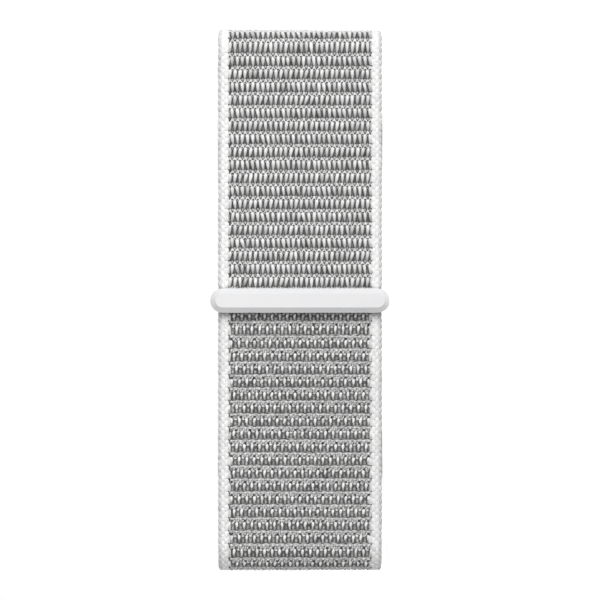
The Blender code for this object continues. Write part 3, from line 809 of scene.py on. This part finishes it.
# %% Selvedges
BEAD_STEP = ROW / 2
STITCH_LEAN = 16.0
BAND_INNER = 9.48
BAND_OUTER = 10.60
BAND_HALF = 0.66
BAND_TONE = 0.95
STITCH_LOOSENESS = 0.6


def selvedge_row():
    """One row of both selvedges, flat, in millimetres."""
    shape = start_yarns()
    for edge in (-1, 1):
        for down in (0.0, BEAD_STEP):
            # the bead on the edge is greyer than the stitches: painted shade of the round edge, which turns
            # away from the light
            add_yarn(shape, (down, edge * 10.61, 0.0), (1.24, 0.70, 1.66), tones=(0.76, 0.76),
                     sides=8, bands=5)
            for face in (-1, 1):
                add_yarn(shape, (down, edge * 9.82, face * 0.60), (1.20, 0.72, 0.36),
                         lean=edge * STITCH_LEAN, tones=(1.00, 0.97), sides=6)
                add_yarn(shape, (down + BEAD_STEP / 2, edge * 10.22, face * 0.60), (1.20, 0.62, 0.34),
                         lean=-edge * STITCH_LEAN, tones=(0.98, 1.00), sides=6)
        # a small dark hole beside the stitches of each row
        for face in (-1, 1):
            add_yarn(shape, (0.73 * ROW, edge * 9.50, face * 0.66), (0.22, 0.20, 0.24),
                     tones=(0.06, 0.06))
    return shape


selvedge_tile = make_tile(selvedge_row(), "selvedge_rows", 1)


def selvedges(name, path, span, first_line, flow, seed, paleness=1.0):
    length = (span[1] - span[0]) / MM
    bands = [lay_shape(ribbon(low, high, BAND_HALF, length, step=0.5, tone_value=BAND_TONE),
                       name + "_band", path, span[0], nylon)
             for low, high in ((-BAND_OUTER, -BAND_INNER), (BAND_INNER, BAND_OUTER))]
    stitches = weave(name + "_stitches", selvedge_tile, path, span, first_line, flow, side=1,
                     seed=seed, looseness=STITCH_LOOSENESS)
    both = joined(name, stitches, *bands)
    set_tone(both.data, read(both.data, "tone", 1) * paleness)
    return both


# %% [markdown]
# ## The short strap
#
# It starts at the keeper's upper side and ends round its lug pin. Its rows are set so that the
# last one before the keeper has the height that the picture shows. The skin side of it faces into
# the loop, where nobody looks closely, so its yarns have fewer faces.

# %% Short strap
EYE_REACH = 0.95 * MM
LAST_ROW = 1.35 * MM
short_span = (-0.12 * MM, short_path.length - EYE_REACH)
short_web = lay_web("short_web", short_path, short_span, step=0.5)
short_face = weave("short_face_yarns", outer_tile, short_path, short_span, LAST_ROW,
                   flow=-1, side=1, seed=11)
short_skin = weave("short_skin_yarns", plain_skin_tile, short_path, short_span, LAST_ROW,
                   flow=-1, side=-1, seed=12)
short_edges = selvedges("short_selvedges", short_path, short_span, LAST_ROW, flow=-1, seed=13)
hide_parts("short_strap")
for piece in (short_web, short_face, short_skin, short_edges):
    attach(piece, "short_side")

# %% [markdown]
# ## The long strap
#
# The stretch that stays on the wrist side is rigid in the model. The fold round the rod goes with
# the tail below, because the cloth bends there when the tail is peeled off. The cloth of the two is
# one length, so its rows are counted from one place: the first row that the picture shows under
# the keeper, 3.45 mm below the middle of the keeper's bar.

# %% Long strap
FIRST_ROW_BELOW = 3.45 * MM
PROBED = 8 * MM
probe = np.linspace(FOLD_END, FOLD_END + PROBED, 400)
first_row = float(np.interp(FIRST_ROW_BELOW, -tail_path.at(probe)[0][:, 0], probe))
long_span = (0.0, long_path.length - EYE_REACH)
long_web = lay_web("long_web", long_path, long_span, step=0.4)
long_face = weave("long_face_yarns", outer_tile, long_path, long_span, -first_row,
                  flow=-1, side=1, seed=21)
long_skin = weave("long_skin_yarns", plain_skin_tile, long_path, long_span, -first_row,
                  flow=-1, side=-1, seed=22)
long_edges = selvedges("long_selvedges", long_path, long_span, -first_row, flow=-1, seed=23)
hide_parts("long_strap")
for piece in (long_web, long_face, long_skin, long_edges):
    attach(piece, "long_side")
print("first row along the tail, mm:", round(first_row / MM, 2))

# %% [markdown]
# ## The fold and the tail
#
# The tail is one ribbon with the fold. Behind the bend it moves with the long strap, and past it
# with the tail, so each of its meshes is blended between the two bodies over the hinge.
#
# Beside the keeper the tail's yarns and selvedges are painted darker than further on: painted shade,
# for the shadow that the keeper's bar throws on the first rows. Their tone starts at a share of what
# it is elsewhere, and reaches its full value 2.6 mm past the keeper's bar. The tail's selvedges are a
# little less pale than the others all along, because in the picture they are too.

# %% Fold and tail
TAB_LENGTH = 4.8 * MM
HOOKS_FROM_END = (25.05 * MM, 0.5 * MM)
HOOK_HALF = 9.0
TAIL_PALENESS = 0.94
tail_end = tail_path.length - TAB_LENGTH
tail_span = (0.0, tail_end)
hook_span = (tail_end - HOOKS_FROM_END[0], tail_end - HOOKS_FROM_END[1])


def under_hooks(along, flat):
    return (along > hook_span[0]) & (along < hook_span[1]) & (np.abs(flat[:, 1]) < HOOK_HALF + 0.1)


tail_web = lay_web("tail_web", tail_path, tail_span, step=0.3)
tail_face = weave("tail_face_yarns", skin_tile, tail_path, tail_span, first_row,
                  flow=1, side=1, seed=31)
tail_inner = weave("tail_inner_yarns", outer_tile, tail_path, (FOLD_END, tail_end), first_row,
                   flow=1, side=-1, seed=32, covered=under_hooks)
tail_edges = selvedges("tail_selvedges", tail_path, tail_span, first_row, flow=1, seed=33,
                       paleness=TAIL_PALENESS)

# %% Painted shade beside the keeper, and the bend
SHADE_UNDER_KEEPER = 0.87
SHADE_FADE_START = 2.0 * MM
SHADE_FADE_LENGTH = 2.2 * MM
# painted shade: near the keeper's bar the tone of the tail's yarns and selvedges is lowered, for the bar's
# shadow
for piece in (tail_face, tail_edges):
    below = -read(piece.data)[:, 0]
    out_of_shade = np.clip((below - SHADE_FADE_START) / SHADE_FADE_LENGTH, 0.0, 1.0)
    set_tone(piece.data, read(piece.data, "tone", 1) * (SHADE_UNDER_KEEPER + (1.0 - SHADE_UNDER_KEEPER) * out_of_shade))
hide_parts("tail")
BEND = ((-1.5 * MM, ROD[1], MID_Z), (-3.0 * MM, ROD[1], MID_Z))
for piece in (tail_web, tail_face, tail_inner, tail_edges):
    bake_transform(piece, "long_side", "tail_side", *BEND)
print("tail bends from, to, mm:", in_mm(BEND))

# %% [markdown]
# ## Hook tape
#
# The hook tape sits in the tail's inner face and holds it down on the long strap. It is a thin
# ribbon with rows of short stubs, because a real hook is too small for its curl to show. The stubs
# are repeated like the rows of yarn and nudged less. All of it lies on the ribbon's inner side, so
# its height above the middle is a negative number.

# %% Hook tape
HOOK_STEP = 0.62
HOOK_GAP = 0.74
HOOK_COLUMNS = 24
HOOK_ABOVE = -0.74
HOOK_LOOSENESS = 0.4
TAPE_HALF = 0.1
TAPE_ABOVE = -0.58
TAPE_MARGIN = 0.1


def hook_rows():
    """Two rows of hooks, flat, in millimetres."""
    shape = start_yarns()
    for row in range(2):
        for column in range(HOOK_COLUMNS):
            across = (column - (HOOK_COLUMNS - 1) / 2) * HOOK_GAP + (row - 0.5) * HOOK_GAP / 2
            add_yarn(shape, (row * HOOK_STEP, across, HOOK_ABOVE), (0.30, 0.16, 0.26), taper=0.3,
                     tones=(0.75, 0.65))
    return shape


tape_length = (hook_span[1] - hook_span[0]) / MM
tape = ribbon(-HOOK_HALF, HOOK_HALF, TAPE_HALF, tape_length, step=0.5, tone_value=0.62)
bmesh.ops.translate(tape, vec=(0.0, 0.0, TAPE_ABOVE), verts=tape.verts)
tape_piece = lay_shape(tape, "tape", tail_path, hook_span[0], nylon)
hook_tile, tile_rows = make_tile(hook_rows(), "hooks", 2)
tile_length = tile_rows * HOOK_STEP
hook_mesh = repeated(hook_tile, tile_length, int(tape_length / tile_length) + 1)
flat_hooks, number = nudge(hook_mesh, len(hook_tile.vertices), seed=41, amount=HOOK_LOOSENESS)
on_tape = (flat_hooks[:, 0] > TAPE_MARGIN) & (flat_hooks[:, 0] < tape_length - TAPE_MARGIN)
flat_hooks = keep_yarns(hook_mesh, flat_hooks, number, on_tape)
lay(hook_mesh, flat_hooks, tail_path, hook_span[0])
hook_tape = joined("hook_tape", tape_piece, add_piece("hooks", hook_mesh, nylon))
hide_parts("hook_patch")
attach(hook_tape, "tail_side")

# %% [markdown]
# ## Pressed tab
#
# The tab at the tail's end is the same webbing, pressed flat and welded, so it is a thin plate with
# round corners. The press leaves a waffle of shallow dents. Yarns would be far too round for that:
# planes cut the plate's faces into small cells, and every cell is inset a little and pushed in.

# %% Pressed tab
PLATE_LENGTH = 4.5
PLATE_WIDTH = 22.0
PLATE_THICKNESS = 0.9
PLATE_CORNER = 3.2
PLATE_RIM = 0.22
DENT_LENGTH = 0.5
DENT_WIDTH = 0.7
DENT_RIM = 0.10
DENT_DEPTH = 0.07
PLATE_TONE = 0.72
DENT_TONES = (0.52, 0.34)


def rounded_plate():
    """A thin plate with two round corners, flat, in millimetres."""
    shape = start_yarns()
    bmesh.ops.create_cube(shape, size=1.0)
    size = Matrix.Diagonal((PLATE_LENGTH, PLATE_WIDTH, PLATE_THICKNESS, 1))
    bmesh.ops.transform(shape, matrix=Matrix.Translation((PLATE_LENGTH / 2, 0, 0)) @ size,
                        verts=shape.verts)
    upright = [e for e in shape.edges if min(v.co.x for v in e.verts) > PLATE_LENGTH / 2
               and abs(e.verts[0].co.z - e.verts[1].co.z) > PLATE_THICKNESS / 2]
    bmesh.ops.bevel(shape, geom=upright, offset=PLATE_CORNER, segments=10, profile=0.5,
                    affect="EDGES", material=-1)
    rims = [e for e in shape.edges if e.calc_face_angle() > 1.0]
    bmesh.ops.bevel(shape, geom=rims, offset=PLATE_RIM, segments=3, profile=0.5, affect="EDGES",
                    material=-1)
    return shape


def dent(shape):
    """Cuts both faces into cells, presses each cell in and shades it."""
    for normal, places in (((1, 0, 0), np.arange(DENT_LENGTH, PLATE_LENGTH, DENT_LENGTH)),
                           ((0, 1, 0), np.arange(-10.5, 10.6, DENT_WIDTH))):
        for place in places:
            bmesh.ops.bisect_plane(shape, geom=shape.verts[:] + shape.edges[:] + shape.faces[:],
                                   plane_co=[place * n for n in normal], plane_no=normal, dist=1e-5)
    whole = DENT_LENGTH * DENT_WIDTH
    cells = [f for f in shape.faces if abs(f.normal.z) > 0.99 and abs(f.calc_area() - whole) < 0.1]
    bmesh.ops.inset_individual(shape, faces=cells, thickness=DENT_RIM, depth=-DENT_DEPTH)
    tone = shape.verts.layers.float["tone"]
    for v in shape.verts:
        v[tone] = PLATE_TONE
    for cell in cells:
        spot = cell.calc_center_median()
        for v in cell.verts:
            v[tone] = DENT_TONES[(round(spot.x / DENT_LENGTH) + round(spot.y / DENT_WIDTH)) % 2]
    print("dents in the tab:", len(cells))


plate = rounded_plate()
dent(plate)
tab = lay_shape(plate, "tail_tab_pressed", tail_path, tail_end + 0.3 * MM, nylon)
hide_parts("tail_tab")
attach(tab, "tail_side")

# %% [markdown]
# ## The eyes round the lug pins
#
# At each end the webbing goes round a pin. The eye is a ribbon bent into a sleeve, open where the
# strap joins it, with a few rows of yarn outside and a pale selvedge at both of its ends.

# %% Strap eyes
EYE_MIDDLE = 0.85 * MM
EYE_HALF = 0.23
EYE_OPEN = 28.0
EYE_STEP = 0.18
EYE_TONE = 0.06
EYE_EDGES = ((-10.9, -9.6), (9.6, 10.9))
EYE_EDGE_PROUD = 0.17
EYE_EDGE_TONE = 0.92
for name, side in (("short", 1), ("long", -1)):
    facing = 0.0 if side > 0 else 180.0
    round_pin = Path(arc((side * PIN_X, PIN_Y), EYE_MIDDLE, facing + EYE_OPEN,
                         facing + 360.0 - EYE_OPEN), 1)
    around = round_pin.length / MM
    sleeve = ribbon(-WEB_REACH, WEB_REACH, EYE_HALF, around, EYE_STEP, EYE_TONE)
    parts = [lay_shape(sleeve, "sleeve", round_pin, 0.0, nylon)]
    for low, high in EYE_EDGES:
        end = ribbon(low, high, EYE_HALF + EYE_EDGE_PROUD, around, EYE_STEP, EYE_EDGE_TONE)
        parts.append(lay_shape(end, "end", round_pin, 0.0, nylon))
    parts.append(weave("eye_yarns", outer_tile, round_pin, (0.0, round_pin.length), 0.0,
                       flow=1, side=1, seed=51, sink=GROUND - EYE_HALF))
    eye = joined(name + "_eye", *parts)
    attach(eye, name + "_side")

# %% [markdown]
# ## Keeper, lugs and small parts
#
# These are rigid, and their solids already have the right shape, so they keep it and get a finish:
# a satin white coating on the keeper, fine brushed steel along the lugs, drawn wire on the springs
# and a matte elastomer on the friction pads. A coating is never quite even, steel is brushed in one
# direction, and elastomer is speckled, so each of them is a noise at its own scale.

# %% Coating and elastomer
def speckled_material(name, roughness, clouds, first, second, grain, strength, depth):
    """A material with a faint noise in its colour. clouds and grain are a scale and a detail."""
    made, shader, wire = start_material(name, roughness)
    place = wire.node("ShaderNodeTexCoord", output="Object")
    plug(shader, "Base Color", between(noise(place, *clouds), first, second))
    roughen(shader, noise(place, *grain), strength, depth)
    return made


white_coating = speckled_material("satin_white", 0.38, clouds=(300.0, 2.0),
                                  first=(0.745, 0.745, 0.76), second=(0.785, 0.785, 0.79),
                                  grain=(9000.0, 1.0), strength=0.12, depth=0.02)
pads = speckled_material("pad_elastomer", 0.75, clouds=(3500.0, 2.0),
                         first=(0.62, 0.62, 0.62), second=(0.72, 0.72, 0.72),
                         grain=(3500.0, 2.0), strength=0.3, depth=0.03)
print("finishes:", white_coating.name, pads.name)

# %% Steel
DARK_LINES = 0.80


def steel_material(name, tint, low, high, stretch):
    """Steel with fine lines. low and high are its roughness, and stretch draws out the lines."""
    made, shader, wire = start_material(name, 0.3, Metallic=1.0)
    place = wire.node("ShaderNodeTexCoord", output="Object")
    lines = noise(wire.node("ShaderNodeMapping", {}, {"Vector": place, "Scale": stretch}), 1.0, 4.0)
    plug(shader, "Base Color", between(lines, [c * DARK_LINES for c in tint], tint))
    plug(shader, "Roughness", low + (high - low) * lines)
    roughen(shader, lines, strength=0.25, depth=0.02)
    return made


brushed = steel_material("brushed_steel", tint=(0.56, 0.56, 0.575), low=0.26, high=0.42,
                         stretch=(6000.0, 6000.0, 160.0))
wire_steel = steel_material("drawn_wire", tint=(0.52, 0.52, 0.54), low=0.25, high=0.35,
                            stretch=(4000.0, 4000.0, 4000.0))
print("finishes:", brushed.name, wire_steel.name)

# %% Finish the solids that stay
finishes = {"keeper_ring": white_coating}
for name in ("short", "long"):
    for part, finish in (("_lug", brushed), ("_lug_pin", brushed), ("_catch", brushed),
                         ("_catch_spring", wire_steel), ("_pad_low", pads), ("_pad_high", pads)):
        finishes[name + part] = finish
for node, finish in finishes.items():
    for material_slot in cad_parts[node].material_slots:
        material_slot.material = finish
print("finished nodes:", len(finishes))

# %% [markdown]
# ## Springs
#
# Under each catch is a coil of thin wire. A circle of wire is spun round the coil's axis with a
# small step up at each turn, and both ends are closed. On the real strap the coil flattens against
# the floor of its pocket when the catch is pressed; here it rides rigidly with its lug.

# %% Springs
WIRE = 0.16 * MM
WIRE_SIDES = 8
CURLS = 2.5
COIL_STEPS = 24


def coil_shape(low, high, middle):
    """A coil between two corners, round the Y direction."""
    coil = bmesh.new()
    wire_ring = bmesh.ops.create_circle(coil, segments=WIRE_SIDES, radius=WIRE / 2)["verts"]
    upright = Matrix.Rotation(math.radians(90.0), 4, "X")
    outside = Matrix.Translation(((high.x - low.x - WIRE) / 2, 0.0, 0.0))
    bmesh.ops.transform(coil, matrix=outside @ upright, verts=wire_ring)
    turns = int(CURLS * COIL_STEPS)
    climb = (high.y - low.y - WIRE) / turns
    bmesh.ops.spin(coil, geom=coil.verts[:] + coil.edges[:], cent=(0, 0, 0), axis=(0, 0, 1),
                   dvec=(0, 0, climb), angle=math.radians(360.0 * CURLS), steps=turns)
    bmesh.ops.holes_fill(coil, edges=[e for e in coil.edges if e.is_boundary], sides=WIRE_SIDES)
    bmesh.ops.recalc_face_normals(coil, faces=coil.faces)
    foot = Matrix.Translation((middle.x, low.y + WIRE / 2, middle.z))
    bmesh.ops.transform(coil, matrix=foot @ Matrix.Rotation(math.radians(-90.0), 4, "X"),
                        verts=coil.verts)
    return coil


for name in ("short", "long"):
    low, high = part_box(name + "_catch_spring")
    middle = (low + high) / 2
    coil_mesh = to_mesh(coil_shape(low, high, middle), name + "_coil")
    coil_mesh.polygons.foreach_set("use_smooth", [True] * len(coil_mesh.polygons))
    piece = add_piece(name + "_coil", coil_mesh, wire_steel)
    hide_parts(name + "_catch_spring")
    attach(piece, name + "_lug")
    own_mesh(piece)
    print(name, "coil, mm:", in_mm((low, high)))

# %% [markdown]
# ## Finish
#
# The size of the dressed strap is written beside the size of the solids, so that the two can be
# compared.

# %% Sizes and finish
dressed_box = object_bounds()
print("dressed box, mm:", in_mm(dressed_box))
